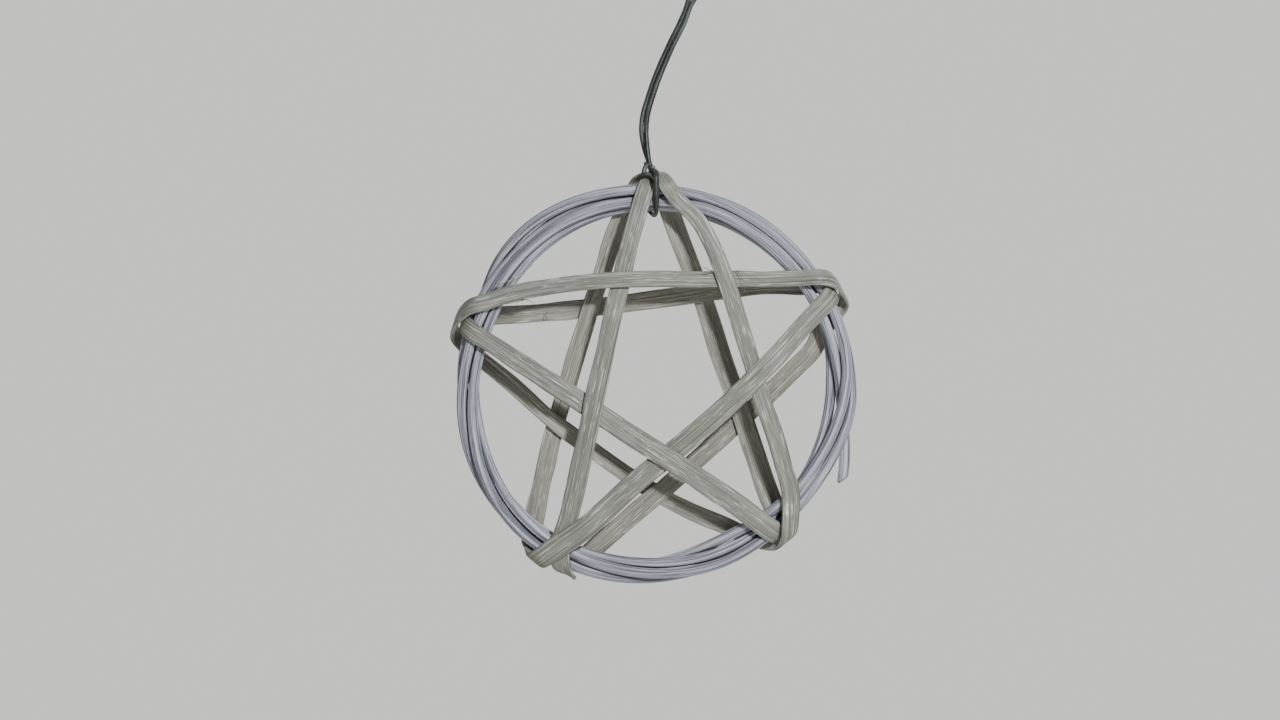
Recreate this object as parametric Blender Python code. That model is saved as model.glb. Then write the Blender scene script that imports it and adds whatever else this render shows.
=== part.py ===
"""Woven reed star ornament.

A hoop is one round reed coiled nearly four loose turns.
One flat reed strip laces a five-pointed star across its front and another across its back.
A thin lace hangs it, knotted round the hoop at the top.
Metres, Z up, front towards -Y, origin inside the top of the hanging loop.
Points read by eye are in units of 1/199 of the hoop's outer radius, from the hoop's centre.
"""

import math

import bpy
import numpy as np

# Driving dimensions
HOOP_RADIUS = 0.075
REED_DIAMETER = 0.0038
STRIP_THICKNESS = 0.0016
STRIP_WIDTH = 0.0068
LACE_DIAMETER = 0.0018
LOOP_RADIUS = 0.0045
HANG_DROP = 0.160
STAR_BOW = 0.0045
SEAT_GAP = 0.0003

# Sizes that follow from them
UNIT = HOOP_RADIUS / 199.0
HANG_SIDE = 46.0 * UNIT
REED_PITCH = REED_DIAMETER + 1.4 * SEAT_GAP
WRAP_GAP = 2.0 * SEAT_GAP
LAYER = STRIP_THICKNESS + 1.5 * SEAT_GAP
RIDE_LIFT = LAYER + SEAT_GAP
WEAVE_LIFT = 0.5 * LAYER
LACE_HALF = 0.5 * LACE_DIAMETER + 0.6 * SEAT_GAP

# Sampling: degrees a step, steps a ring, sides of the reed, steps a chord and a rim run
COIL_STEP = 3
RING_STEPS = 2
COIL_SIDES = 8
CHORD_STEPS = 20
WRAP_STEPS = 9

# How the coil's turns settle: clock angle of its loose end, easing rounds, then rounds that only part them
COIL_START = 117.0
EASE_ROUNDS = 120
PART_ROUNDS = 90

# How the strip beds down, in strip widths: over another strip at the rim, at a crossing, past a run's end
RIDE_FLAT = 1.25
RIDE_FADE = 0.8
RIM_FADE = 0.6
CROSS_FLAT = 0.9
CROSS_FADE = 1.4
REACH_PAST = 3.0
# Share of a chord in which it leaves the rim
LEAVE_SHARE = 0.16

# The coil, from its loose end inwards: clock angle, radius, layer (minus is nearer the front)
FIRST_TURN = (
    (117, 209.6, 1.0), (111.6, 201.3, 1.6), (106, 194.0, 1.8), (100, 187.5, 1.3), (94.4, 181.5, 0.2),
    (88, 180.0, -0.6), (80, 179.3, -1.0), (66, 180.5, -1.0), (50, 176.3, -1.0), (35, 180.5, -1.0),
    (15, 185.7, -1.0), (2, 183.2, -1.0), (-10, 185.0, -0.9), (-30, 187.6, -1.0), (-60, 188.6, -1.0),
    (-80, 185.8, -1.0), (-98, 194.0, -0.9), (-112, 198.5, 0.5), (-130, 198.5, 1.0), (-145, 198.0, 1.0),
    (-153, 197.0, 1.0), (-160, 193.5, 1.2), (-167, 186.5, 1.5), (-175, 178.5, 1.6), (-186, 173.0, 1.3),
    (-200, 168.3, 0.4), (-212, 167.6, -0.6), (-226, 171.5, -1.0),
)
SECOND_TURN = (
    (120, 173.4, -1.3), (110, 178.5, -1.4), (100, 185.0, -1.6), (92, 191.0, -1.3), (84, 194.5, -1.0),
    (70, 195.0, -1.0), (60, 191.5, -1.0), (48, 187.0, -1.0), (35, 190.0, -1.0), (20, 195.0, -1.0),
    (4, 194.0, -1.0), (-10, 194.5, -1.0), (-20, 200.5, -1.0), (-33, 205.8, -0.6), (-45, 203.5, 0.6),
    (-60, 195.5, 2.2), (-72, 187.0, 1.6), (-85, 179.5, 1.2), (-100, 182.5, 1.0), (-115, 187.0, 0.0),
    (-130, 190.5, -0.6), (-145, 188.0, -0.9), (-155, 186.5, -1.0), (-180, 186.0, -1.0),
    (-200, 185.3, -0.7), (-224, 183.5, -0.1),
)
THIRD_TURN = (
    (120, 183.5, 0.0), (113, 187.0, 0.0), (106.7, 192.3, -0.1), (98.5, 196.3, 0.1), (90, 196.0, 0.6),
    (80, 192.8, 1.0), (66, 193.0, 1.0), (50, 192.7, 1.0), (35, 196.0, 0.9), (20, 195.3, 1.0),
    (0, 194.0, 1.0), (-15, 194.0, 1.0), (-40, 195.5, 0.7), (-60, 195.0, 0.9), (-80, 193.0, 1.0),
    (-98, 194.0, 1.0), (-112, 188.5, 1.1), (-130, 186.0, 0.9), (-149, 185.0, 0.9), (-160, 184.3, 0.9),
    (-168, 181.5, 0.3), (-176, 178.0, -0.4), (-188, 176.2, -0.6), (-200, 176.0, -0.5), (-212, 177.0, 0.3),
    (-226, 176.5, 1.1),
)
FOURTH_TURN = (
    (120, 175.0, 1.3), (108, 172.9, 1.3), (96, 174.0, 1.6), (90, 176.0, 1.5), (84, 178.2, 1.1),
    (70, 182.0, 1.0), (50, 178.3, 1.0), (30, 178.0, 0.8), (15, 177.5, 0.4), (0, 181.0, 0.9),
    (-18, 182.5, 1.0), (-38, 179.0, 0.5), (-55, 178.3, 0.0), (-80, 178.5, -0.9), (-98, 184.7, -1.0),
    (-112, 192.5, -1.1), (-130, 198.7, -1.0), (-145, 199.5, -1.0), (-160, 195.0, -0.9), (-176, 192.5, 0.4),
    (-190, 187.5, 1.0), (-202, 185.8, 1.0),
)

# Where the strip passes the hoop's five points: clock angles on the front, the outer side and the back
INNER_WRAPS = {
    "top": (355.4, 358.7, 362.0), "right": (63.5, 59.8, 56.1), "low_right": (142.8, 139.7, 136.6),
    "left": (286.3, 288.7, 291.1),
}
OUTER_WRAPS = {
    "top": (367.7, 359.4, 353.5), "right": (55.5, 64.6, 70.5), "low_right": (130.5, 140.5, 149.4),
    "low_left": (211.6, 215.3, 220.0), "left": (296.6, 286.0, 281.3),
}
START_TAIL = (211.0, 204.8, 203.8)
END_TAIL = (203.8, 203.5, 203.2)

# Each chord in lacing order: side, hand-read points across and up, width at its start and end
CHORDS = (
    ("front", "low_left", "top", ((-88, -134), (-57, 6), (-25, 146)), 1.12, 1.00),
    ("back", "top", "low_right", ((21.4, 154.5), (32.2, 127.4), (49, 83.4), (62.6, 39), (88, -31.5),
                                  (99.5, -67.7), (108.8, -96.4)), 1.10, 1.20),
    ("front", "low_right", "left", ((84, -121), (-36, -41), (-56, -28)), 1.26, 1.04),
    ("back", "left", "right", ((-78, 77), (-6, 86), (60, 95.5), (114, 101)), 1.04, 1.04),
    ("front", "right", "low_left", ((156, 70), (116.3, 26), (52.7, -35), (-29, -103), (-68.7, -139)),
     1.06, 1.28),
    ("back", "low_left", "top", ((-118, -114), (-105, -54), (-85, 16), (-66.4, 76), (-51.6, 121),
                                 (-44.7, 146), (-34, 171)), 1.06, 0.96),
    ("front", "top", "low_right", ((38.5, 169.7), (57, 136.8), (72.4, 96.3), (93.8, 26.7), (106.3, -14),
                                   (119.2, -53.2), (126.8, -79.2), (134, -104)), 0.92, 1.00),
    ("back", "low_right", "left", ((78, -144.5), (40, -128.7), (12, -115), (-46, -77.7), (-110.7, -29.4),
                                   (-151, 6.6)), 0.96, 0.92),
    ("front", "left", "right", ((-156, 88.5), (-106, 99), (-56, 104.3), (-6, 106.7), (44, 106.4),
                                (144, 107.5)), 0.92, 0.90),
    ("back", "right", "low_left", ((157.5, 36), (141, 18.5), (59, -58.5), (-22.4, -129.5), (-60.4, -162.3)),
     1.06, 1.10),
)
# For each chord, the chords it passes nearer the viewer than, then those it passes behind
OVER_UNDER = {0: ((2,), (8,)), 2: ((4,), (0,)), 4: ((6,), (2,)), 6: ((8,), (4,)), 8: ((0,), (6,)),
              1: ((9,), (3,)), 3: ((1,), (5,)), 5: ((3,), (7,)), 7: ((5,), (9,)), 9: ((7,), (1,))}

# For each chord that passes over another where the two meet at the hoop, the chords under it
RIDES_ON = {4: (0,), 6: (0, 2), 8: (2, 4), 5: (9, 1), 7: (1, 3), 9: (3,)}

# The order of the strip's runs round the rim after its first tail: inner or outer wrap, place, way round
RIM_ORDER = (
    ("inner", "top", 1), ("inner", "low_right", -1), ("inner", "left", 1), ("inner", "right", -1),
    ("outer", "low_left", 1), ("outer", "top", -1), ("outer", "low_right", 1), ("outer", "left", -1),
    ("outer", "right", 1),
)

# The lace's two strands seen from the front, up from the hoop: across, up
LACE_RISE = ((-4, 213), (-6, 221), (-11, 236), (-13, 250), (-11, 266), (-4, 291), (5, 316), (15, 339),
             (26, 362), (34, 383))
# The lace round the hoop's top, from behind the knot to its front: facing in degrees, across, wraps under it
LACE_ROUND = ((52, -6, 2), (72, -8, 2), (100, -9, 0), (135, -7, 0), (180, -3, 0), (225, 0, 0), (260, 1, 0),
              (288, 0.5, 2.1), (310, 0, 2.1))
# The lace's turn round its own two strands: angle from the right, height in lace diameters
LACE_COIL = (
    (-75, 0.15), (-30, 0.35), (15, 0.7), (60, 1.1), (105, 1.35), (150, 1.45), (195, 1.5), (240, 1.4),
)
# The lace's cut end: across in units, depth and height in lace diameters
LACE_TAIL = ((-12, -2.1, 0.7), (-14.5, -2.6, -0.9))
KNOT_ACROSS = -4.0 * UNIT
LOOP_ANGLES = (-20, 25, 65, 100, 135, 170, 205)
# Clock angle of the lace, and the spread of degrees that the wraps and the lace cover there
TOP_CLOCK = 359.0
WRAP_SPREAD = 12.0
LACE_SPREAD = 3.0
# How far the pair of strands turns, in degrees, from one behind the other towards side by side
PAIR_TURN = 60.0


def clear_scene():
    for thing in list(bpy.data.objects):
        bpy.data.objects.remove(thing, do_unlink=True)


def material(name, colour, roughness):
    made = bpy.data.materials.new(name)
    made.use_nodes = True
    shader = made.node_tree.nodes["Principled BSDF"]
    shader.inputs["Base Color"].default_value = (*colour, 1.0)
    shader.inputs["Roughness"].default_value = roughness
    return made


def smooth_through(knots, values, at):
    """A smooth curve through hand-chosen knots: cubics with slopes averaged from their neighbours."""
    knots = np.asarray(knots, float)
    values = np.asarray(values, float)
    steps = np.diff(knots)
    slopes = np.diff(values, axis=0) / (steps[:, None] if values.ndim > 1 else steps)
    inner = 0.5 * (slopes[1:] + slopes[:-1])
    tangents = np.concatenate([slopes[:1], inner, slopes[-1:]])
    at = np.clip(at, knots[0], knots[-1])
    i = np.clip(np.searchsorted(knots, at, side="right") - 1, 0, len(steps) - 1)
    h = steps[i]
    t = (at - knots[i]) / h
    if values.ndim > 1:
        h, t = h[:, None], t[:, None]
    a = values[i] * (1 + 2 * t) * (1 - t) ** 2 + h * tangents[i] * t * (1 - t) ** 2
    return a + values[i + 1] * t * t * (3 - 2 * t) + h * tangents[i + 1] * t * t * (t - 1)


def unit_rows(rows):
    return rows / np.linalg.norm(rows, axis=1, keepdims=True)


def along(points):
    """Distance along a run of points, from its start."""
    return np.concatenate([[0.0], np.cumsum(np.linalg.norm(np.diff(points, axis=0), axis=1))])


def tangents_of(points):
    return unit_rows(np.gradient(points, axis=0))


def hoop_to_world(across, depth, up):
    return np.stack([across - HANG_SIDE, depth, up - HANG_DROP], axis=-1)


def coil_knots():
    """The four turns as one run: angle turned from the loose end, radius, depth."""
    rows = []
    for turn, table in enumerate((FIRST_TURN, SECOND_TURN, THIRD_TURN, FOURTH_TURN)):
        for clock, radius, layer in table:
            rows.append((COIL_START - clock + 360.0 * turn, radius * UNIT, layer * 0.5 * REED_PITCH))
    return np.array(rows)


def push_apart(section, per_turn, share):
    """Moves turns that are too near apart by a share of what they lack of a reed and a gap."""
    for turns in (1, 2, 3):
        lag = turns * per_turn
        if lag >= len(section):
            continue
        away = section[lag:] - section[:-lag]
        far = np.linalg.norm(away, axis=1, keepdims=True)
        short = np.clip(REED_PITCH - far, 0.0, None) * share
        move = 0.5 * short * away / np.maximum(far, 1e-6)
        section[lag:] += move
        section[:-lag] -= move
    return section


def coil_section():
    """Radius and depth of the reed's centre at every step, settled so that no two turns touch."""
    knots = coil_knots()
    turned = np.arange(0.0, knots[-1, 0], COIL_STEP)
    section = smooth_through(knots[:, 0], knots[:, 1:], turned)
    per_turn = 360 // COIL_STEP
    for _ in range(EASE_ROUNDS):
        section = push_apart(section, per_turn, 0.6)
        eased = section.copy()
        eased[1:-1] = 0.25 * (section[:-2] + 2.0 * section[1:-1] + section[2:])
        section = 0.5 * (section + eased)
    for _ in range(PART_ROUNDS):
        section = push_apart(section, per_turn, 1.0)
    return turned, section


def coil_path(turned, section):
    clock = np.radians(COIL_START - turned)
    return hoop_to_world(section[:, 0] * np.sin(clock), section[:, 1], section[:, 0] * np.cos(clock))


def turns_near(turned, section, clock, spread):
    """Centres of all turns, radius and depth, within a spread of degrees of a clock angle."""
    off = (COIL_START - turned - clock + 180.0) % 360.0 - 180.0
    return section[np.abs(off) <= spread]


def sweep(name, points, across, up, outline, mat):
    """One closed skin: an outline carried along points, capped at both ends."""
    sides = outline.shape[-2]
    rings = points[:, None] + outline[..., :1] * across[:, None] + outline[..., 1:] * up[:, None]
    count = len(points)
    grid = np.arange(count * sides).reshape(count, sides)
    a, b = grid[:-1], grid[1:]
    quads = np.stack([a, np.roll(a, -1, 1), np.roll(b, -1, 1), b], axis=-1).reshape(-1, 4)
    faces = [tuple(int(v) for v in quad) for quad in quads]
    faces.append(tuple(int(v) for v in grid[0][::-1]))
    faces.append(tuple(int(v) for v in grid[-1]))
    mesh = bpy.data.meshes.new(name)
    mesh.from_pydata(rings.reshape(-1, 3).tolist(), [], faces)
    mesh.polygons.foreach_set("use_smooth", [True] * len(mesh.polygons))
    mesh.materials.append(mat)
    thing = bpy.data.objects.new(name, mesh)
    bpy.context.scene.collection.objects.link(thing)
    return thing


def round_outline(radius, sides):
    angle = np.arange(sides) * 2.0 * math.pi / sides
    return np.stack([radius * np.cos(angle), radius * np.sin(angle)], axis=-1)


def build_hoop(turned, section, mat):
    path = coil_path(turned, section)[::RING_STEPS]
    along_reed = tangents_of(path)
    depth = np.array([[0.0, 1.0, 0.0]])
    up = unit_rows(depth - (along_reed @ depth.T) * along_reed)
    across = np.cross(up, along_reed)
    outline = round_outline(0.5 * REED_DIAMETER, COIL_SIDES)
    sweep("hoop_coil", path, across, up, outline, mat)


def dome(points, side):
    """Depth of the strip's bed over the open hoop, and its outward normal, for points across and up."""
    squared = (points ** 2).sum(axis=1) / HOOP_RADIUS ** 2
    height = STAR_BOW * np.clip(1.0 - squared, 0.0, None)
    lean = 2.0 * STAR_BOW * points / HOOP_RADIUS ** 2
    return height, unit_rows(np.stack([lean[:, 0], np.full(len(points), side), lean[:, 1]], axis=1))


def hull_run(centres, reach, start, end):
    """The turns' outline at a reach from their centres, eased: radius, depth and facing at even steps."""
    fine = np.radians(np.linspace(start * 90.0, end * 90.0, 181))
    facing = np.stack([np.cos(fine), np.sin(fine)], axis=1)
    ideal = centres[np.argmax(facing @ centres.T, axis=1)] + reach * facing
    run = ideal.copy()
    for _ in range(30):
        run[1:-1] = 0.25 * (run[:-2] + 2.0 * run[1:-1] + run[2:])
    run += np.clip(((ideal - run) * facing).sum(1), 0.0, None)[:, None] * facing
    travelled = along(run)
    at = np.linspace(0.0, travelled[-1], max(3, round(WRAP_STEPS * (end - start) / 2.0)) + 1)
    flat = np.stack([np.interp(at, travelled, column) for column in (run[:, 0], run[:, 1], fine)], axis=1)
    share = at / travelled[-1]
    outermost = np.interp(0.0, fine, travelled / travelled[-1])
    return flat, share, outermost


def wrap_run(turned, section, clocks, start, end):
    """Points and outward normals from the front face, round the outer side, to the back face of the hoop.

    The run hugs the outline of the turns it passes.
    start and end are in quarter turns: -1 is the front face, 0 the outer side, 1 the back face.
    """
    low, high = min(clocks), max(clocks)
    margin = math.degrees(0.5 * STRIP_WIDTH / HOOP_RADIUS) + 1.0
    centres = turns_near(turned, section, 0.5 * (low + high), 0.5 * (high - low) + margin)
    reach = 0.5 * REED_DIAMETER + WRAP_GAP + 0.5 * STRIP_THICKNESS
    flat, share, outermost = hull_run(centres, reach, start, end)
    if 0.05 < outermost < 0.95:
        clock = smooth_through((0.0, outermost, 1.0), clocks, share)
    else:
        clock = np.interp(share, (0.0, 1.0), (clocks[0], clocks[-1]))
    return placed(flat[:, 0], flat[:, 1], flat[:, 2], clock)


def lengthened(points, by):
    """A run of points with a straight piece added at each end."""
    first = points[0] + by * (points[0] - points[1]) / np.linalg.norm(points[0] - points[1])
    last = points[-1] + by * (points[-1] - points[-2]) / np.linalg.norm(points[-1] - points[-2])
    return np.concatenate([[first], points, [last]])


def ride_over(points, normals, under):
    """The run lifted by one layer wherever it passes over the run under it."""
    apart = nearest(points, lengthened(under, REACH_PAST * STRIP_WIDTH))
    lift = RIDE_LIFT * plateau(apart, RIDE_FLAT * STRIP_WIDTH, RIM_FADE * STRIP_WIDTH)
    return points + lift[:, None] * normals


def placed(radius, depth, turn, clock):
    """A run round the hoop as points and normals in the hoop's own axes: across, depth, up."""
    clock = np.radians(clock)
    out = np.stack([np.sin(clock), np.zeros_like(clock), np.cos(clock)], axis=1)
    points = radius[:, None] * out + depth[:, None] * np.array([[0.0, 1.0, 0.0]])
    normals = np.cos(turn)[:, None] * out + np.sin(turn)[:, None] * np.array([[0.0, 1.0, 0.0]])
    return points, normals


def chord_plan(number, first, last):
    """The chord's centre line seen from the front: smooth, from wrap to wrap through its read points."""
    across_up = np.concatenate([[first], np.array(CHORDS[number][3], float) * UNIT, [last]])
    knots = along(across_up)
    return smooth_through(knots, across_up, np.linspace(0.0, knots[-1], CHORD_STEPS + 1))


def crossing(plan, other):
    """How far along plan it crosses other, both runs of points seen from the front."""
    d1 = np.diff(plan, axis=0)[:, None]
    d2 = np.diff(other, axis=0)[None]
    gap = other[None, :-1] - plan[:-1, None]
    area = d1[..., 0] * d2[..., 1] - d1[..., 1] * d2[..., 0]
    on1 = (gap[..., 0] * d2[..., 1] - gap[..., 1] * d2[..., 0]) / area
    on2 = (gap[..., 0] * d1[..., 1] - gap[..., 1] * d1[..., 0]) / area
    travelled = along(plan)
    i, j = np.argwhere((on1 >= 0) & (on1 <= 1) & (on2 >= 0) & (on2 <= 1))[0]
    return travelled[i] + on1[i, j] * (travelled[i + 1] - travelled[i])


def plateau(distance, flat, fade):
    """One within flat of zero, falling smoothly to nothing over fade."""
    t = np.clip((np.abs(distance) - flat) / fade, 0.0, 1.0)
    return 1.0 - t * t * (3.0 - 2.0 * t)


def nearest(plan, other):
    """Distance from each point of plan to the run of points other."""
    start, step = other[:-1], np.diff(other, axis=0)
    to = plan[:, None] - start[None]
    share = np.clip((to * step[None]).sum(2) / (step ** 2).sum(1)[None], 0.0, 1.0)
    return np.linalg.norm(to - share[..., None] * step[None], axis=2).min(axis=1)


def chord_run(number, plans, ends):
    """Points and outward normals of one chord: the bed's dome, lifted or dropped at each crossing."""
    side = -1.0 if CHORDS[number][0] == "front" else 1.0
    plan = plans[number]
    travelled = along(plan)
    height, normal = dome(plan, side)
    share = travelled / travelled[-1]
    near_start = plateau(share, 0.0, LEAVE_SHARE)
    near_end = plateau(1.0 - share, 0.0, LEAVE_SHARE)
    bed = 0.5 * (REED_PITCH + REED_DIAMETER + STRIP_THICKNESS) + SEAT_GAP + height
    for other in RIDES_ON.get(number, ()):
        apart = nearest(plan, lengthened(plans[other], REACH_PAST * STRIP_WIDTH))
        bed += RIDE_LIFT * plateau(apart, RIDE_FLAT * STRIP_WIDTH, RIDE_FADE * STRIP_WIDTH)
    lift = np.zeros(len(plan))
    for way, others in zip((1.0, -1.0), OVER_UNDER[number]):
        for other in others:
            apart = travelled - crossing(plan, plans[other])
            lift += way * plateau(apart, CROSS_FLAT * STRIP_WIDTH, CROSS_FADE * STRIP_WIDTH)
    depth = side * bed - WEAVE_LIFT * lift
    depth = depth + (ends[0] - depth[0]) * near_start + (ends[1] - depth[-1]) * near_end
    return np.stack([plan[:, 0], depth, plan[:, 1]], axis=1), normal


def strip_pieces(turned, section):
    """The strip's rim runs in lacing order, and its chords' plans."""
    tail, tail_normals = wrap_run(turned, section, START_TAIL, -1.0, 0.1)
    inner = {place: wrap_run(turned, section, clocks, -1.0, 1.0) for place, clocks in INNER_WRAPS.items()}
    inner["low_left"] = (tail, tail_normals)
    rims = [(tail[::-1], tail_normals[::-1])]
    for kind, place, way in RIM_ORDER:
        points, normals = inner[place]
        if kind == "outer":
            points, normals = wrap_run(turned, section, OUTER_WRAPS[place], -1.0, 1.0)
            points = ride_over(points, normals, inner[place][0])
        rims.append((points[::way], normals[::way]))
    points, normals = wrap_run(turned, section, END_TAIL, 0.55, 1.0)
    rims.append((points[::-1], normals[::-1]))
    plans = {}
    for number in range(10):
        first = rims[number][0][-1][[0, 2]]
        last = rims[number + 1][0][0][[0, 2]]
        plans[number] = chord_plan(number, first, last)
    return rims, plans


def build_strip(turned, section, mat):
    rims, plans = strip_pieces(turned, section)
    points, normals, widths = [], [], []
    for number in range(10):
        rim_points, rim_normals = rims[number]
        ends = (rim_points[-1][1], rims[number + 1][0][0][1])
        run, run_normals = chord_run(number, plans, ends)
        start_width, end_width = CHORDS[number][4], CHORDS[number][5]
        before = CHORDS[number - 1][5] if number else start_width
        points += [rim_points, run[1:-1]]
        normals += [rim_normals, run_normals[1:-1]]
        widths.append(np.linspace(before, start_width, len(rim_points)))
        widths.append(np.linspace(start_width, end_width, len(run) - 2))
    points.append(rims[-1][0])
    normals.append(rims[-1][1])
    widths.append(np.full(len(rims[-1][0]), CHORDS[-1][5]))
    points = np.concatenate(points)
    normals = np.concatenate(normals)
    widths = np.concatenate(widths)
    direction = tangents_of(points)
    up = unit_rows(normals - (normals * direction).sum(1, keepdims=True) * direction)
    across = np.cross(up, direction)
    outline = flat_oval(widths * STRIP_WIDTH, STRIP_THICKNESS)
    world = hoop_to_world(points[:, 0], points[:, 1], points[:, 2])
    sweep("star_strip", world, across, up, outline, mat)


def flat_oval(widths, thickness):
    """Section of split reed: flat underneath, rounded on top, soft edges."""
    shape = np.array([
        (-0.42, -0.50), (0.42, -0.50), (0.50, -0.12), (0.43, 0.26), (0.22, 0.46),
        (0.0, 0.50), (-0.22, 0.46), (-0.43, 0.26), (-0.50, -0.12),
    ])
    across = shape[None, :, 0] * widths[:, None]
    up = np.broadcast_to(shape[None, :, 1] * thickness, across.shape)
    return np.stack([across, up], axis=-1)


def lace_round(turned, section):
    """The lace round the hoop's top: across, depth, up, from behind the knot, under and up the front."""
    facing, across, wraps = np.array(LACE_ROUND, float).T
    facing = np.radians(facing)
    out = np.stack([np.cos(facing), np.sin(facing)], axis=1)
    run = (0.5 * (REED_DIAMETER + LACE_DIAMETER) + WRAP_GAP + wraps * RIDE_LIFT)[:, None] * out
    for covered, spread in ((wraps > 0, WRAP_SPREAD), (wraps == 0, LACE_SPREAD)):
        centres = turns_near(turned, section, TOP_CLOCK, spread)
        run[covered] += centres[np.argmax(out[covered] @ centres.T, axis=1)]
    return np.stack([across * UNIT, run[:, 1], run[:, 0]], axis=1)


def knot_height(turned, section):
    """Height of the lace's lowest place on top of the two wraps at the hoop's top."""
    centres = turns_near(turned, section, TOP_CLOCK, WRAP_SPREAD)
    return centres[:, 0].max() + 0.5 * (REED_DIAMETER + LACE_DIAMETER) + LAYER + RIDE_LIFT + WRAP_GAP


def lace_pair(base):
    """The two rising strands, each from the knot up: one before the other, turning towards side by side."""
    rise = np.array(LACE_RISE, float) * UNIT
    scale = (rise[-1, 1] - base) / (rise[-1, 1] - rise[0, 1])
    turn = np.radians(PAIR_TURN) * np.clip((np.arange(len(rise)) - 0.7) / 2.0, 0.0, 1.0)
    height = rise[-1, 1] - scale * (rise[-1, 1] - rise[:, 1])
    spread, depth = LACE_HALF * np.sin(turn), LACE_HALF * np.cos(turn)
    right = np.stack([rise[:, 0] + spread, -depth, height], axis=1)
    left = np.stack([rise[:, 0] - spread, depth, height], axis=1)
    return right, left


def lace_points(turned, section):
    """Hand-chosen points of the lace: cut end, up, the loop, down, round the hoop, the knot, cut end."""
    base = knot_height(turned, section)
    right, left = lace_pair(base)
    ring, coil, tail = [], [], []
    for angle in LOOP_ANGLES:
        across, up = math.cos(math.radians(angle)), math.sin(math.radians(angle))
        centre = HANG_DROP + 0.5 * LACE_DIAMETER - LOOP_RADIUS
        ring.append((HANG_SIDE + LOOP_RADIUS * across, 0.0, centre + LOOP_RADIUS * up))
    for angle, height in LACE_COIL:
        across = KNOT_ACROSS + 2.0 * LACE_HALF * math.cos(math.radians(angle))
        depth = 3.0 * LACE_HALF * math.sin(math.radians(angle))
        coil.append((across, depth, base + height * LACE_DIAMETER))
    for across, depth, height in LACE_TAIL:
        tail.append((across * UNIT, depth * LACE_DIAMETER, base + height * LACE_DIAMETER))
    runs = (right, ring, left[::-1], lace_round(turned, section), coil, tail)
    steps = np.repeat((1, 2, 1, 2, 2, 2), [len(run) for run in runs])[1:]
    return np.concatenate([np.array(run) for run in runs]), steps


def build_lace(turned, section, mat):
    knots, steps = lace_points(turned, section)
    travelled = along(knots)
    at = [travelled[0]]
    for first, last, count in zip(travelled[:-1], travelled[1:], steps):
        at += list(np.linspace(first, last, count + 1)[1:])
    path = smooth_through(travelled, knots, np.array(at))
    world = hoop_to_world(path[:, 0], path[:, 1], path[:, 2])
    curve = bpy.data.curves.new("hanging_lace", "CURVE")
    curve.dimensions = "3D"
    spline = curve.splines.new("POLY")
    spline.points.add(len(world) - 1)
    for point, place in zip(spline.points, world):
        point.co = (*place, 1.0)
    curve.bevel_depth = 0.5 * LACE_DIAMETER
    curve.bevel_resolution = 2
    curve.use_fill_caps = True
    curve.materials.append(mat)
    thing = bpy.data.objects.new("hanging_lace", curve)
    bpy.context.scene.collection.objects.link(thing)


def main():
    clear_scene()
    reed = material("painted_round_reed", (0.42, 0.43, 0.52), 0.6)
    flat_reed = material("flat_reed", (0.33, 0.33, 0.27), 0.6)
    hide = material("dark_lace", (0.06, 0.065, 0.06), 0.55)
    turned, section = coil_section()
    build_hoop(turned, section, reed)
    build_strip(turned, section, flat_reed)
    build_lace(turned, section, hide)


main()
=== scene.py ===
"""Woven reed star ornament: a hoop of coiled round reed, a star laced from one flat reed strip, a dark lace.

Metres, Z up, front towards -Y, origin inside the top of the hanging loop.
Listed points are in units of 1/199 of the hoop's outer radius, from the hoop's centre.
"""

import math

import bpy
import numpy as np
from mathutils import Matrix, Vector


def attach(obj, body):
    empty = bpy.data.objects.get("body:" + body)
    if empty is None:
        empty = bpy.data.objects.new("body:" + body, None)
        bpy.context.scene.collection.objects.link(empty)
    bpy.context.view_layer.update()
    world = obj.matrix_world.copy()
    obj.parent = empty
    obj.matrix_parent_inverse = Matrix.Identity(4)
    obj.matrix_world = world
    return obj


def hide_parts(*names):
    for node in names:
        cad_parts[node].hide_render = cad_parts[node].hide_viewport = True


bl_info = {
    "name": "Woven reed star",
    "version": (1, 0, 0),
    "blender": (4, 5, 0),
    "location": "3D View > Sidebar > Reed star",
    "description": "A coiled reed hoop, a star of flat reed strip and a hanging lace",
    "category": "Add Mesh",
}

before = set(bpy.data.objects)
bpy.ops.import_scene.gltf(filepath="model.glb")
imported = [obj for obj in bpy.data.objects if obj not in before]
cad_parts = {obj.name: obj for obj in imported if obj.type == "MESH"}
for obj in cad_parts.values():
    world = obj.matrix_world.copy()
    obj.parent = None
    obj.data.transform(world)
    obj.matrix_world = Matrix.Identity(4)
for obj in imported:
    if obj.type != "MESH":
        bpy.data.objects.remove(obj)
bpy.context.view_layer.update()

# The CAD model's driving sizes, in metres
HOOP_RADIUS = 0.075
REED_DIAMETER = 0.0038
STRIP_THICKNESS = 0.0016
STRIP_WIDTH = 0.0068
LACE_DIAMETER = 0.0018
LOOP_RADIUS = 0.0045
HANG_DROP = 0.160
STAR_BOW = 0.0045
SEAT_GAP = 0.0003
UNIT = HOOP_RADIUS / 199.0
HANG_SIDE = 46.0 * UNIT
REED_PITCH = REED_DIAMETER + 1.4 * SEAT_GAP
WRAP_GAP = 2.0 * SEAT_GAP
LAYER = STRIP_THICKNESS + 1.5 * SEAT_GAP
RIDE_LIFT = LAYER + SEAT_GAP
WEAVE_LIFT = 0.5 * LAYER
LACE_HALF = 0.5 * LACE_DIAMETER + 0.6 * SEAT_GAP

# The coil's degrees from step to step, the clock angle of its loose end, and how it is settled
COIL_STEP = 3
COIL_START = 117.0
EASE_ROUNDS = 120
EASE_PUSH = 0.6
PART_ROUNDS = 90
COIL_FINER = 8

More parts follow.
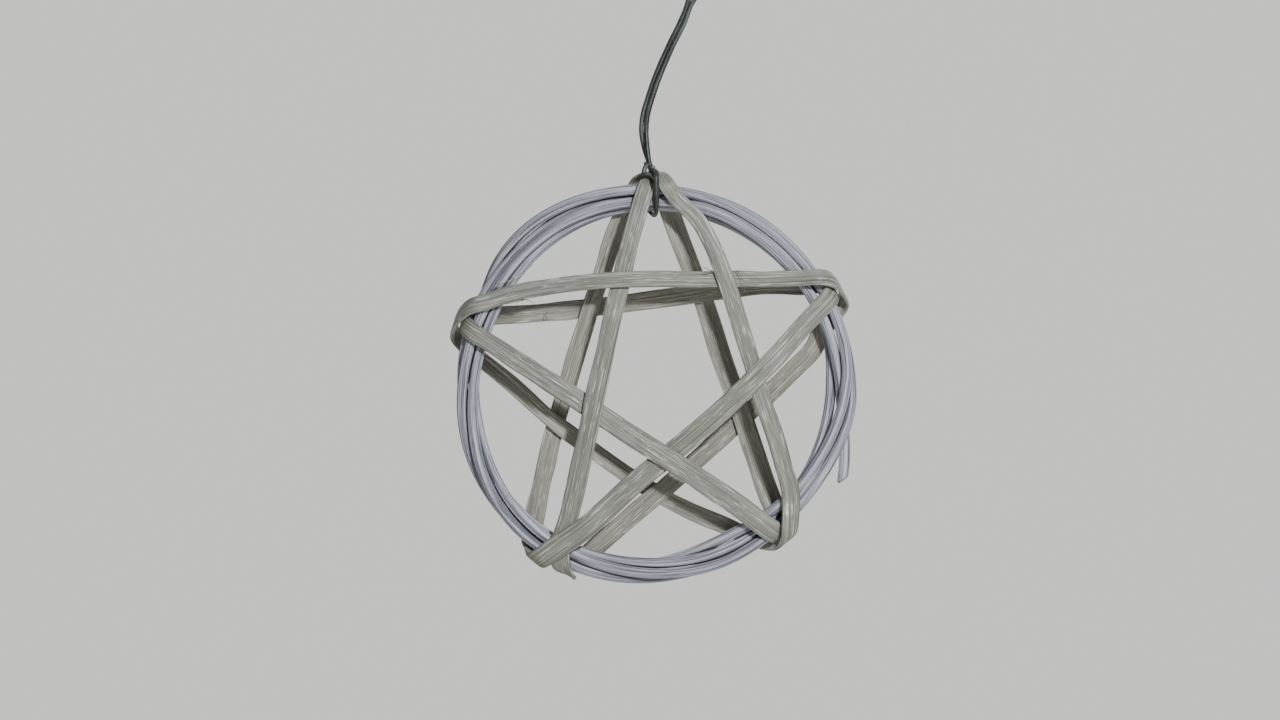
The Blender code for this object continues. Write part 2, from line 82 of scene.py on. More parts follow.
# Steps of the strip's runs, finer than the CAD model's, and how the hoop's outline is eased for its wraps
CHORD_STEPS = 120
WRAP_STEPS = 44
HULL_STEPS = 181
HULL_ROUNDS = 30

# How a run of strip rises where it meets another: lengths in strip widths, and a share of the chord
RIDE_FLAT = 1.25
RIDE_FADE = 0.8
RIM_FADE = 0.6
CROSS_FLAT = 0.9
CROSS_FADE = 1.4
REACH_PAST = 3.0
LEAVE_SHARE = 0.16

# The coil, from its loose end inwards: clock angle, radius, layer (minus is nearer the front)
FIRST_TURN = (
    (117, 209.6, 1.0), (111.6, 201.3, 1.6), (106, 194.0, 1.8), (100, 187.5, 1.3), (94.4, 181.5, 0.2),
    (88, 180.0, -0.6), (80, 179.3, -1.0), (66, 180.5, -1.0), (50, 176.3, -1.0), (35, 180.5, -1.0),
    (15, 185.7, -1.0), (2, 183.2, -1.0), (-10, 185.0, -0.9), (-30, 187.6, -1.0), (-60, 188.6, -1.0),
    (-80, 185.8, -1.0), (-98, 194.0, -0.9), (-112, 198.5, 0.5), (-130, 198.5, 1.0), (-145, 198.0, 1.0),
    (-153, 197.0, 1.0), (-160, 193.5, 1.2), (-167, 186.5, 1.5), (-175, 178.5, 1.6), (-186, 173.0, 1.3),
    (-200, 168.3, 0.4), (-212, 167.6, -0.6), (-226, 171.5, -1.0),
)
SECOND_TURN = (
    (120, 173.4, -1.3), (110, 178.5, -1.4), (100, 185.0, -1.6), (92, 191.0, -1.3), (84, 194.5, -1.0),
    (70, 195.0, -1.0), (60, 191.5, -1.0), (48, 187.0, -1.0), (35, 190.0, -1.0), (20, 195.0, -1.0),
    (4, 194.0, -1.0), (-10, 194.5, -1.0), (-20, 200.5, -1.0), (-33, 205.8, -0.6), (-45, 203.5, 0.6),
    (-60, 195.5, 2.2), (-72, 187.0, 1.6), (-85, 179.5, 1.2), (-100, 182.5, 1.0), (-115, 187.0, 0.0),
    (-130, 190.5, -0.6), (-145, 188.0, -0.9), (-155, 186.5, -1.0), (-180, 186.0, -1.0),
    (-200, 185.3, -0.7), (-224, 183.5, -0.1),
)
THIRD_TURN = (
    (120, 183.5, 0.0), (113, 187.0, 0.0), (106.7, 192.3, -0.1), (98.5, 196.3, 0.1), (90, 196.0, 0.6),
    (80, 192.8, 1.0), (66, 193.0, 1.0), (50, 192.7, 1.0), (35, 196.0, 0.9), (20, 195.3, 1.0),
    (0, 194.0, 1.0), (-15, 194.0, 1.0), (-40, 195.5, 0.7), (-60, 195.0, 0.9), (-80, 193.0, 1.0),
    (-98, 194.0, 1.0), (-112, 188.5, 1.1), (-130, 186.0, 0.9), (-149, 185.0, 0.9), (-160, 184.3, 0.9),
    (-168, 181.5, 0.3), (-176, 178.0, -0.4), (-188, 176.2, -0.6), (-200, 176.0, -0.5), (-212, 177.0, 0.3),
    (-226, 176.5, 1.1),
)
FOURTH_TURN = (
    (120, 175.0, 1.3), (108, 172.9, 1.3), (96, 174.0, 1.6), (90, 176.0, 1.5), (84, 178.2, 1.1),
    (70, 182.0, 1.0), (50, 178.3, 1.0), (30, 178.0, 0.8), (15, 177.5, 0.4), (0, 181.0, 0.9),
    (-18, 182.5, 1.0), (-38, 179.0, 0.5), (-55, 178.3, 0.0), (-80, 178.5, -0.9), (-98, 184.7, -1.0),
    (-112, 192.5, -1.1), (-130, 198.7, -1.0), (-145, 199.5, -1.0), (-160, 195.0, -0.9), (-176, 192.5, 0.4),
    (-190, 187.5, 1.0), (-202, 185.8, 1.0),
)

# Where the strip passes the hoop's five points: clock angles on the front, the outer side and the back.
# The second wrap at the lower right starts a little higher than in the CAD model, for a softer bend.
INNER_WRAPS = {
    "top": (355.4, 358.7, 362.0), "right": (63.5, 59.8, 56.1), "low_right": (142.8, 139.7, 136.6),
    "left": (286.3, 288.7, 291.1),
}
OUTER_WRAPS = {
    "top": (367.7, 359.4, 353.5), "right": (55.5, 64.6, 70.5), "low_right": (129.3, 140.5, 149.4),
    "low_left": (211.6, 215.3, 220.0), "left": (296.6, 286.0, 281.3),
}
START_TAIL = (211.0, 204.8, 203.8)
END_TAIL = (203.8, 203.5, 203.2)
# Where the tails end, in quarter turns from the outer side towards the back
START_TAIL_TO = 0.1
END_TAIL_FROM = 0.55

# Each chord in lacing order from the lower left: its side, the hoop's point that it runs to,
# read points across and up, and the width at its start and end in strip widths
CHORDS = (
    ("front", "top", ((-88, -134), (-57, 6), (-25, 146)), 1.12, 1.00),
    ("back", "low_right", ((21.4, 154.5), (32.2, 127.4), (49, 83.4), (62.6, 39), (88, -31.5), (99.5, -67.7),
                           (108.8, -96.4)), 1.10, 1.20),
    ("front", "left", ((84, -121), (-36, -41), (-56, -28)), 1.26, 1.04),
    ("back", "right", ((-78, 77), (-6, 86), (60, 95.5), (114, 101)), 1.04, 1.04),
    ("front", "low_left", ((156, 70), (116.3, 26), (52.7, -35), (-29, -103), (-68.7, -139)), 1.06, 1.28),
    ("back", "top", ((-118, -114), (-105, -54), (-85, 16), (-66.4, 76), (-51.6, 121), (-44.7, 146),
                     (-34, 171)), 1.06, 0.96),
    ("front", "low_right", ((38.5, 169.7), (57, 136.8), (72.4, 96.3), (93.8, 26.7), (106.3, -14),
                            (119.2, -53.2), (126.8, -79.2), (134, -104)), 0.92, 1.00),
    ("back", "left", ((78, -144.5), (40, -128.7), (12, -115), (-46, -77.7), (-110.7, -29.4),
                      (-151, 6.6)), 0.96, 0.92),
    ("front", "right", ((-156, 88.5), (-106, 99), (-56, 104.3), (-6, 106.7), (44, 106.4),
                        (144, 107.5)), 0.92, 0.90),
    ("back", "low_left", ((157.5, 36), (141, 18.5), (59, -58.5), (-22.4, -129.5),
                          (-60.4, -162.3)), 1.06, 1.10),
)
# Each chord lies outside the chord after next and inside the one before last, on both faces
WEAVE = ((2, 1.0), (-2, -1.0))
# For each chord that passes over another where the two meet at the hoop, the chords under it
RIDES_ON = {4: (0,), 6: (0, 2), 8: (2, 4), 5: (9, 1), 7: (1, 3), 9: (3,)}

# The lace's given points. The knot, the round under the hoop and the first points of the rise are
# drawn tighter than in the CAD model, by up to 2 mm. The other points are the same.
# The rise: across and up
LACE_RISE = ((-5.5, 213), (-7.8, 221), (-10.8, 236), (-12.2, 250), (-11, 266), (-4, 291), (5, 316), (15, 339),
             (26, 362), (34, 383))
# The round under the hoop: facing in degrees, across, and how many layers of strip lie under the lace
LACE_ROUND = ((52, -6, 2), (72, -7.5, 2), (100, -7.5, 0), (135, -5, 0), (180, -1.5, 0), (225, 0, 0),
              (260, 0.5, 0), (288, 0.3, 2.1), (310, 0, 2.1))
# The knot's one turn, degrees and height, and its tail, across, depth and height: heights in lace diameters
LACE_COIL = (
    (-75, -0.4), (-30, -0.25), (15, 0.0), (60, 0.3), (105, 0.5), (150, 0.6), (195, 0.6), (240, 0.4),
)
LACE_TAIL = ((-10.4, -1.5, -0.1), (-11.8, -1.7, -0.8), (-12.2, -1.8, -1.5))
KNOT_ACROSS = -6.5 * UNIT
KNOT_WIDE = 1.3 * LACE_HALF
KNOT_DEEP = 2.25 * LACE_HALF
LOOP_ANGLES = (-20, 25, 65, 100, 135, 170, 205)
TOP_CLOCK = 359.0
WRAP_SPREAD = 12.0
LACE_SPREAD = 3.0
# The two strands turn towards side by side: by how much, and from which point of the rise over how many
PAIR_TURN = 60.0
PAIR_FROM = 0.7
PAIR_OVER = 2.0
# The lace's section is a superellipse, made smaller for its corners and a little flat
LACE_SQUARE = 2.8
LACE_CORNER = 1.08
LACE_FLAT = 0.92
# Step of the smooth path through its points, before it is made even
LACE_FINE = 0.0002

# Loose fibres of the strip, in the same units with their depth in millimetres: each a run of points
WHISKERS = (
    ((-129, 86.5, -7.3), (-133, 85, -7.9), (-138, 83.5, -8.4), (-145, 82, -8.7), (-153, 81, -8.6)),
    ((-133, 86.5, -7.2), (-129, 86, -8.2), (-125, 84.5, -9.0), (-120, 81.5, -9.6)),
    ((57, 114, -8.4), (51, 116, -9.6), (47, 118, -10.2), (43, 119.7, -10.5), (38, 120, -10.6)),
    ((57, 113, -8.4), (54, 113.5, -9.4), (50, 112.5, -9.9), (46, 113.5, -10.1)),
    ((-108, 66, 5.2), (-111, 70, 4.2), (-109, 74, 3.6), (-106, 76, 3.2)),
    ((-160, 98, -7.4), (-150, 103, -8.3), (-140, 108.5, -8.6), (-130, 114.5, -8.2), (-121, 121.5, -7.6)),
    ((80, 115, -8.6), (84, 110, -9.6), (86, 103, -10.0), (87.5, 97, -10.1), (88, 93, -10.2)),
    ((-129, -137, 4.9), (-130.5, -128, 4.7), (-129.5, -118, 4.9), (-125.5, -106, 5.4)),
)
WHISKER_RADIUS = 0.0002
WHISKER_TIP = 0.35
WHISKER_STEPS = 25
WHISKER_SIDES = 6

# The slanting cut at the reed's loose end: its slope, how far up the reed the section leans with it,
# and how far both ends are rounded
CUT_SLOPE = 0.9
CUT_REACH = 0.006
CUT_ROUNDING = 0.0008

# The gap in millimetres that stands for no other strand near
FAR_GAP = 9.0

# The picture's middle seen from the hoop's centre, across and up in the units of the hand-read points
PICTURE_MIDDLE = (-16, 26)
PICTURE_WIDTH = 1280
CAMERA_SENSOR = 36.0
PALE_SKY = "#F3F2F0"
FLOOR_SIDES = 96

MM = 1000.0


# Curves and runs

def smooth_through(knots, values, at):
    """A smooth curve through given knots: cubics with slopes averaged from their neighbours."""
    knots = np.asarray(knots, float)
    values = np.asarray(values, float)
    steps = np.diff(knots)
    slopes = np.diff(values, axis=0) / (steps[:, None] if values.ndim > 1 else steps)
    inner = 0.5 * (slopes[1:] + slopes[:-1])
    tangents = np.concatenate([slopes[:1], inner, slopes[-1:]])
    at = np.clip(at, knots[0], knots[-1])
    i = np.clip(np.searchsorted(knots, at, side="right") - 1, 0, len(steps) - 1)
    h = steps[i]
    t = (at - knots[i]) / h
    if values.ndim > 1:
        h, t = h[:, None], t[:, None]
    a = values[i] * (1 + 2 * t) * (1 - t) ** 2 + h * tangents[i] * t * (1 - t) ** 2
    return a + values[i + 1] * t * t * (3 - 2 * t) + h * tangents[i + 1] * t * t * (t - 1)


def unit_rows(rows):
    """Each row scaled to length one."""
    return rows / np.linalg.norm(rows, axis=1, keepdims=True)


def along(points):
    """Distance along a run of points, from its start."""
    return np.concatenate([[0.0], np.cumsum(np.linalg.norm(np.diff(points, axis=0), axis=1))])


def tangents_of(points):
    """Unit direction of a run of points at each of them."""
    return unit_rows(np.gradient(points, axis=0))


def hoop_to_world(across, depth, up):
    """Places given from the hoop's centre, moved so that the hanging point is the origin."""
    return np.stack([across - HANG_SIDE, depth, up - HANG_DROP], axis=-1)


def eased(rows, rounds):
    """Rows with each one moved towards the mean of its neighbours, the ends kept, a number of times."""
    rows = rows.copy()
    for _ in range(rounds):
        rows[1:-1] = 0.25 * (rows[:-2] + 2.0 * rows[1:-1] + rows[2:])
    return rows


def evenly(points, spacing, *others):
    """A run resampled to even spacing, with the rows that go with it."""
    travelled = along(points)
    at = np.linspace(0.0, travelled[-1], int(round(travelled[-1] / spacing)) + 1)
    made = []
    for rows in (points, *others):
        rows = rows if rows.ndim > 1 else rows[:, None]
        column = np.stack([np.interp(at, travelled, rows[:, i]) for i in range(rows.shape[1])], axis=1)
        made.append(column)
    return at, made


def wander(at, length, seed, reach=1.0):
    """A smooth random value along a run: cubics through seeded values, one for each length."""
    count = max(4, int(at[-1] / length) + 3)
    values = np.random.default_rng(seed).uniform(-reach, reach, count)
    return smooth_through(np.arange(count) * length, values, at)


# The coil

def coil_knots():
    """The four turns as one run: angle turned from the loose end, radius, depth."""
    rows = []
    for turn, table in enumerate((FIRST_TURN, SECOND_TURN, THIRD_TURN, FOURTH_TURN)):
        for clock, radius, layer in table:
            rows.append((COIL_START - clock + 360.0 * turn, radius * UNIT, layer * 0.5 * REED_PITCH))
    return np.array(rows)


def push_apart(section, per_turn, share):
    """Moves turns that are too near apart by a share of what they lack of a reed and a gap."""
    for turns in (1, 2, 3):
        lag = turns * per_turn
        away = section[lag:] - section[:-lag]
        far = np.linalg.norm(away, axis=1, keepdims=True)
        short = np.clip(REED_PITCH - far, 0.0, None) * share
        move = 0.5 * short * away / np.maximum(far, 1e-6)
        section[lag:] += move
        section[:-lag] -= move
    return section


def coil_section():
    """Radius and depth of the reed's centre at every step, settled so that no two turns touch."""
    knots = coil_knots()
    turned = np.arange(0.0, knots[-1, 0], COIL_STEP)
    section = smooth_through(knots[:, 0], knots[:, 1:], turned)
    per_turn = 360 // COIL_STEP
    for _ in range(EASE_ROUNDS):
        section = push_apart(section, per_turn, EASE_PUSH)
        section = 0.5 * (section + eased(section, 1))
    for _ in range(PART_ROUNDS):
        section = push_apart(section, per_turn, 1.0)
    return turned, section


def turns_near(turned, section, clock, spread):
    """Centres of all turns, radius and depth, within a spread of degrees of a clock angle."""
    off = (COIL_START - turned - clock + 180.0) % 360.0 - 180.0
    return section[np.abs(off) <= spread]


# The strip

def dome(points, side):
    """Depth of the strip's bed over the open hoop, and its outward normal, for points across and up."""
    squared = (points ** 2).sum(axis=1) / HOOP_RADIUS ** 2
    height = STAR_BOW * np.clip(1.0 - squared, 0.0, None)
    lean = 2.0 * STAR_BOW * points / HOOP_RADIUS ** 2
    return height, unit_rows(np.stack([lean[:, 0], np.full(len(points), side), lean[:, 1]], axis=1))


def hull_run(centres, reach, start, end):
    """The turns' outline at a reach from their centres, eased: radius, depth and facing at even steps."""
    fine = np.radians(np.linspace(start * 90.0, end * 90.0, HULL_STEPS))
    facing = np.stack([np.cos(fine), np.sin(fine)], axis=1)
    ideal = centres[np.argmax(facing @ centres.T, axis=1)] + reach * facing
    run = eased(ideal, HULL_ROUNDS)
    run += np.clip(((ideal - run) * facing).sum(1), 0.0, None)[:, None] * facing
    travelled = along(run)
    at = np.linspace(0.0, travelled[-1], max(3, round(WRAP_STEPS * (end - start) / 2.0)) + 1)
    flat = np.stack([np.interp(at, travelled, column) for column in (run[:, 0], run[:, 1], fine)], axis=1)
    share = at / travelled[-1]
    outermost = np.interp(0.0, fine, travelled / travelled[-1])
    return flat, share, outermost


def placed(radius, depth, turn, clock):
    """A run round the hoop as points and normals in the hoop's own axes: across, depth, up."""
    clock = np.radians(clock)
    out = np.stack([np.sin(clock), np.zeros_like(clock), np.cos(clock)], axis=1)
    inward = np.array([[0.0, 1.0, 0.0]])
    points = radius[:, None] * out + depth[:, None] * inward
    return points, np.cos(turn)[:, None] * out + np.sin(turn)[:, None] * inward


def wrap_run(turned, section, clocks, start, end):
    """Points and outward normals from the front face, round the outer side, to the back face of the hoop.

    start and end are in quarter turns: -1 is the front face, 0 the outer side, 1 the back face.
    The clock angle runs through its three values, or straight for a tail that hardly passes the outer side.
    """
    low, high = min(clocks), max(clocks)
    margin = math.degrees(0.5 * STRIP_WIDTH / HOOP_RADIUS) + 1.0
    centres = turns_near(turned, section, 0.5 * (low + high), 0.5 * (high - low) + margin)
    reach = 0.5 * REED_DIAMETER + WRAP_GAP + 0.5 * STRIP_THICKNESS
    flat, share, outermost = hull_run(centres, reach, start, end)
    if 0.05 < outermost < 0.95:
        clock = smooth_through((0.0, outermost, 1.0), clocks, share)
    else:
        clock = np.interp(share, (0.0, 1.0), (clocks[0], clocks[-1]))
    return placed(flat[:, 0], flat[:, 1], flat[:, 2], clock)


def lengthened(points, by):
    """A run of points with a straight piece added at each end."""
    first = points[0] + by * (points[0] - points[1]) / np.linalg.norm(points[0] - points[1])
    last = points[-1] + by * (points[-1] - points[-2]) / np.linalg.norm(points[-1] - points[-2])
    return np.concatenate([[first], points, [last]])


def plateau(distance, flat, fade):
    """One within flat of zero, falling smoothly to nothing over fade."""
    t = np.clip((np.abs(distance) - flat) / fade, 0.0, 1.0)
    return 1.0 - t * t * (3.0 - 2.0 * t)


def nearest(plan, other):
    """Distance from each point of plan to the run of points other."""
    start, step = other[:-1], np.diff(other, axis=0)
    to = plan[:, None] - start[None]
    share = np.clip((to * step[None]).sum(2) / (step ** 2).sum(1)[None], 0.0, 1.0)
    return np.linalg.norm(to - share[..., None] * step[None], axis=2).min(axis=1)


def ride_over(points, normals, under):
    """The run lifted by one layer wherever it passes over the run under it."""
    apart = nearest(points, lengthened(under, REACH_PAST * STRIP_WIDTH))
    lift = RIDE_LIFT * plateau(apart, RIDE_FLAT * STRIP_WIDTH, RIM_FADE * STRIP_WIDTH)
    return points + lift[:, None] * normals


def chord_plan(number, first, last):
    """The chord's centre line seen from the front: smooth, from wrap to wrap through its read points."""
    across_up = np.concatenate([[first], np.array(CHORDS[number][2], float) * UNIT, [last]])
    knots = along(across_up)
    return smooth_through(knots, across_up, np.linspace(0.0, knots[-1], CHORD_STEPS + 1))


def crossing(plan, other):
    """How far along plan it crosses other, both runs of points seen from the front."""
    d1 = np.diff(plan, axis=0)[:, None]
    d2 = np.diff(other, axis=0)[None]
    gap = other[None, :-1] - plan[:-1, None]
    area = d1[..., 0] * d2[..., 1] - d1[..., 1] * d2[..., 0]
    on1 = (gap[..., 0] * d2[..., 1] - gap[..., 1] * d2[..., 0]) / area
    on2 = (gap[..., 0] * d1[..., 1] - gap[..., 1] * d1[..., 0]) / area
    travelled = along(plan)
    i, j = np.argwhere((on1 >= 0) & (on1 <= 1) & (on2 >= 0) & (on2 <= 1))[0]
    return travelled[i] + on1[i, j] * (travelled[i + 1] - travelled[i])


def chord_run(number, plans, ends):
    """Points and outward normals of one chord: the bed's dome, lifted or dropped at each crossing."""
    side = -1.0 if CHORDS[number][0] == "front" else 1.0
    plan = plans[number]
    travelled = along(plan)
    height, normal = dome(plan, side)
    share = travelled / travelled[-1]
    near_start = plateau(share, 0.0, LEAVE_SHARE)
    near_end = plateau(1.0 - share, 0.0, LEAVE_SHARE)
    bed = 0.5 * (REED_PITCH + REED_DIAMETER + STRIP_THICKNESS) + SEAT_GAP + height
    for other in RIDES_ON.get(number, ()):
        apart = nearest(plan, lengthened(plans[other], REACH_PAST * STRIP_WIDTH))
        bed += RIDE_LIFT * plateau(apart, RIDE_FLAT * STRIP_WIDTH, RIDE_FADE * STRIP_WIDTH)
    for step, way in WEAVE:
        apart = travelled - crossing(plan, plans[(number + step) % len(CHORDS)])
        bed += way * WEAVE_LIFT * plateau(apart, CROSS_FLAT * STRIP_WIDTH, CROSS_FADE * STRIP_WIDTH)
    depth = side * bed
    depth = depth + (ends[0] - depth[0]) * near_start + (ends[1] - depth[-1]) * near_end
    return np.stack([plan[:, 0], depth, plan[:, 1]], axis=1), normal


def strip_rims(turned, section):
    """The strip's runs round the rim in lacing order, and its chords' plans.

    The first wrap at each of the hoop's points lies on the reed, the second one over the first.
    """
    tail, tail_normals = wrap_run(turned, section, START_TAIL, -1.0, START_TAIL_TO)
    inner = {place: wrap_run(turned, section, clocks, -1.0, 1.0) for place, clocks in INNER_WRAPS.items()}
    inner["low_left"] = (tail, tail_normals)
    rims = [(tail[::-1], tail_normals[::-1])]
    passed = {"low_left"}
    for side, place, *_ in CHORDS[:-1]:
        points, normals = inner[place]
        if place in passed:
            points, normals = wrap_run(turned, section, OUTER_WRAPS[place], -1.0, 1.0)
            points = ride_over(points, normals, inner[place][0])
        passed.add(place)
        way = 1 if side == "front" else -1
        rims.append((points[::way], normals[::way]))
    points, normals = wrap_run(turned, section, END_TAIL, END_TAIL_FROM, 1.0)
    rims.append((points[::-1], normals[::-1]))
    plans = {}
    for number in range(len(CHORDS)):
        first = rims[number][0][-1][[0, 2]]
        last = rims[number + 1][0][0][[0, 2]]
        plans[number] = chord_plan(number, first, last)
    return rims, plans


def strip_line(turned, section):
    """The whole strip's centre line, outward normals and width factors, in the hoop's own axes."""
    rims, plans = strip_rims(turned, section)
    points, normals, widths = [], [], []
    before = CHORDS[0][3]
    for number, (_, _, _, start_width, end_width) in enumerate(CHORDS):
        rim_points, rim_normals = rims[number]
        ends = (rim_points[-1][1], rims[number + 1][0][0][1])
        run, run_normals = chord_run(number, plans, ends)
        points += [rim_points, run[1:-1]]
        normals += [rim_normals, run_normals[1:-1]]
        widths.append(np.linspace(before, start_width, len(rim_points)))
        widths.append(np.linspace(start_width, end_width, len(run) - 2))
        before = end_width
    points.append(rims[-1][0])
    normals.append(rims[-1][1])
    widths.append(np.full(len(rims[-1][0]), before))
    return np.concatenate(points), np.concatenate(normals), np.concatenate(widths)


# The lace

def lace_round(turned, section):
    """The lace round the hoop's top: across, depth, up, from behind the knot, under and up the front."""
    facing, across, wraps = np.array(LACE_ROUND, float).T
    facing = np.radians(facing)
    out = np.stack([np.cos(facing), np.sin(facing)], axis=1)
    run = (0.5 * (REED_DIAMETER + LACE_DIAMETER) + WRAP_GAP + wraps * RIDE_LIFT)[:, None] * out
    for covered, spread in ((wraps > 0, WRAP_SPREAD), (wraps == 0, LACE_SPREAD)):
        centres = turns_near(turned, section, TOP_CLOCK, spread)
        run[covered] += centres[np.argmax(out[covered] @ centres.T, axis=1)]
    return np.stack([across * UNIT, run[:, 1], run[:, 0]], axis=1)


def lace_pair(base):
    """The two rising strands, each from the knot up: one before the other, turning towards side by side."""
    rise = np.array(LACE_RISE, float) * UNIT
    scale = (rise[-1, 1] - base) / (rise[-1, 1] - rise[0, 1])
    turn = np.radians(PAIR_TURN) * np.clip((np.arange(len(rise)) - PAIR_FROM) / PAIR_OVER, 0.0, 1.0)
    height = rise[-1, 1] - scale * (rise[-1, 1] - rise[:, 1])
    spread, depth = LACE_HALF * np.sin(turn), LACE_HALF * np.cos(turn)
    right = np.stack([rise[:, 0] + spread, -depth, height], axis=1)
    left = np.stack([rise[:, 0] - spread, depth, height], axis=1)
    return right, left


def lace_points(turned, section):
    """The lace's points: cut end, up, the loop, down, round the hoop, the knot, cut end."""
    centres = turns_near(turned, section, TOP_CLOCK, WRAP_SPREAD)
    base = centres[:, 0].max() + 0.5 * (REED_DIAMETER + LACE_DIAMETER) + LAYER + RIDE_LIFT + WRAP_GAP
    right, left = lace_pair(base)
    angles = np.radians(LOOP_ANGLES)
    centre = HANG_DROP + 0.5 * LACE_DIAMETER - LOOP_RADIUS
    loop = np.stack([HANG_SIDE + LOOP_RADIUS * np.cos(angles), np.zeros_like(angles),
                     centre + LOOP_RADIUS * np.sin(angles)], axis=1)
    angles, heights = np.array(LACE_COIL).T
    angles = np.radians(angles)
    coil = np.stack([KNOT_ACROSS + KNOT_WIDE * np.cos(angles), KNOT_DEEP * np.sin(angles),
                     base + heights * LACE_DIAMETER], axis=1)
    tail = np.array(LACE_TAIL) * (UNIT, LACE_DIAMETER, LACE_DIAMETER) + (0.0, 0.0, base)
    return np.concatenate([right, loop, left[::-1], lace_round(turned, section), coil, tail])


# Surfaces

def carried_frame(points, first_side):
    """Two unit directions square to a run of points, carried along it without twisting."""
    direction = tangents_of(points)
    side = np.empty_like(points)
    last = np.asarray(first_side, float)
    for i, ahead in enumerate(direction):
        last = last - (last @ ahead) * ahead
        last = last / np.linalg.norm(last)
        side[i] = last
    return side, np.cross(direction, side)


def swept(name, points, across, up, outline, space, mat, node=None):
    """One closed skin on a grid of length by turn: point = centre + outline x * across + outline y * up.

    Each end closes in a fan round the centre of its last ring.
    space holds the same grid's place inside the straight material in millimetres, for its grain.
    """
    rings = points[:, None] + outline[..., :1] * across[:, None] + outline[..., 1:] * up[:, None]
    count, sides = rings.shape[:2]
    grid = np.arange(count * sides).reshape(count, sides)
    a, b = grid[:-1], grid[1:]
    quads = np.stack([a, np.roll(a, -1, 1), np.roll(b, -1, 1), b], axis=-1).reshape(-1, 4)
    first, last = count * sides, count * sides + 1
    start = np.stack([np.roll(grid[0], -1), grid[0], np.full(sides, first)], axis=-1)
    end = np.stack([grid[-1], np.roll(grid[-1], -1), np.full(sides, last)], axis=-1)
    places = np.concatenate([rings.reshape(-1, 3), [rings[0].mean(0)], [rings[-1].mean(0)]])
    grain = np.concatenate([space.reshape(-1, 3), [space[0].mean(0)], [space[-1].mean(0)]])
    mesh = bpy.data.meshes.new(name)
    mesh.from_pydata(places.tolist(), [], quads.tolist() + start.tolist() + end.tolist())
    mesh.polygons.foreach_set("use_smooth", [True] * len(mesh.polygons))
    mesh.attributes.new("grain", "FLOAT_VECTOR", "POINT").data.foreach_set("vector", grain.ravel())
    mesh.materials.append(mat)
    piece = bpy.data.objects.new(name, mesh)
    bpy.context.scene.collection.objects.link(piece)
    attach(piece, "root")
    if node:
        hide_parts(node)
    return piece


def turns_round(sides):
    """Even turns round a section, in radians from its across direction."""
    return np.arange(sides) * 2.0 * math.pi / sides


def ring(reach, turn, flat=1.0):
    """A section at each step: x = reach * cos(turn), y = flat * reach * sin(turn)."""
    return np.stack([reach * np.cos(turn), flat * reach * np.sin(turn)], axis=-1)


def straight_place(outline, at):
    """A surface's place inside the straight material in millimetres: x and y of its section, z along it."""
    distance = np.broadcast_to(at[:, None, None], (*outline.shape[:2], 1))
    return np.concatenate([outline, distance], axis=-1) * MM


def ridges(sides, at, count, depth, drift, seed):
    """Fine lengthwise ridges: waves round the section whose phases wander slowly along the length."""
    rng = np.random.default_rng(seed)
    turn = turns_round(sides)
    total = np.zeros((len(at), sides))
    for order in range(count):
        waves = rng.integers(3, sides // 2)
        phase = wander(at, drift, seed + 17 * order, math.pi)
        total += rng.uniform(0.4, 1.0) * np.sin(waves * turn[None] + phase[:, None])
    return depth * total / count


# Materials

def linear(code):
    """A colour written as sRGB hex, as linear numbers."""
    parts = [int(code[i:i + 2], 16) / 255.0 for i in (1, 3, 5)]
    return tuple(p / 12.92 if p <= 0.04045 else ((p + 0.055) / 1.055) ** 2.4 for p in parts)


def add(tree, kind, inputs, **settings):
    """Adds a node with its settings, and sets or links each of its inputs."""
    made = tree.nodes.new(kind)
    for key, value in settings.items():
        setattr(made, key, value)
    for key, value in inputs.items():
        if isinstance(value, bpy.types.NodeSocket):
            tree.links.new(value, made.inputs[key])
        else:
            made.inputs[key].default_value = value
    return made


def new_material(name):
    """A material with its Principled shader, and the piece's grain place in millimetres."""
    made = bpy.data.materials.new(name)
    made.use_nodes = True
    tree = made.node_tree
    place = add(tree, "ShaderNodeAttribute", {}, attribute_name="grain").outputs["Vector"]
    return made, tree, tree.nodes["Principled BSDF"], place


def streaks(tree, place, scale, levels, detail=3.0, most=1.0):
    """Noise on the grain place, stretched by a scale per millimetre: from 0 to most between two levels."""
    fitted = add(tree, "ShaderNodeMapping", {"Vector": place, "Scale": scale}).outputs["Vector"]
    noise = add(tree, "ShaderNodeTexNoise", {
        "Vector": fitted, "Scale": 1.0, "Detail": detail, "Roughness": 0.6})
    spread = add(tree, "ShaderNodeMapRange", {
        "Value": noise.outputs["Fac"], "From Min": levels[0], "From Max": levels[1], "To Max": most})
    return spread.outputs["Result"]


def coated(tree, colour, *coats):
    """A colour with coats laid on it in turn: each is a share and the colour turned to by that share."""
    for share, coat in coats:
        ends = [end if isinstance(end, bpy.types.NodeSocket) else (*end, 1.0) for end in (colour, coat)]
        colour = add(tree, "ShaderNodeMix", {0: share, 6: ends[0], 7: ends[1]}, data_type="RGBA").outputs[2]
    return colour


def finish_material(tree, shader, colour, dulled, dullness, relief, depth, strength, refraction):
    """Joins colour, dullness between two values by a share, fine relief and refraction to the shader."""
    dull = add(tree, "ShaderNodeMapRange", {"Value": dulled, "To Min": dullness[0], "To Max": dullness[1]})
    bump = add(tree, "ShaderNodeBump", {"Height": relief, "Strength": strength, "Distance": depth})
    tree.links.new(colour, shader.inputs["Base Color"])
    tree.links.new(dull.outputs["Result"], shader.inputs["Roughness"])
    tree.links.new(bump.outputs["Normal"], shader.inputs["Normal"])
    shader.inputs["IOR"].default_value = refraction


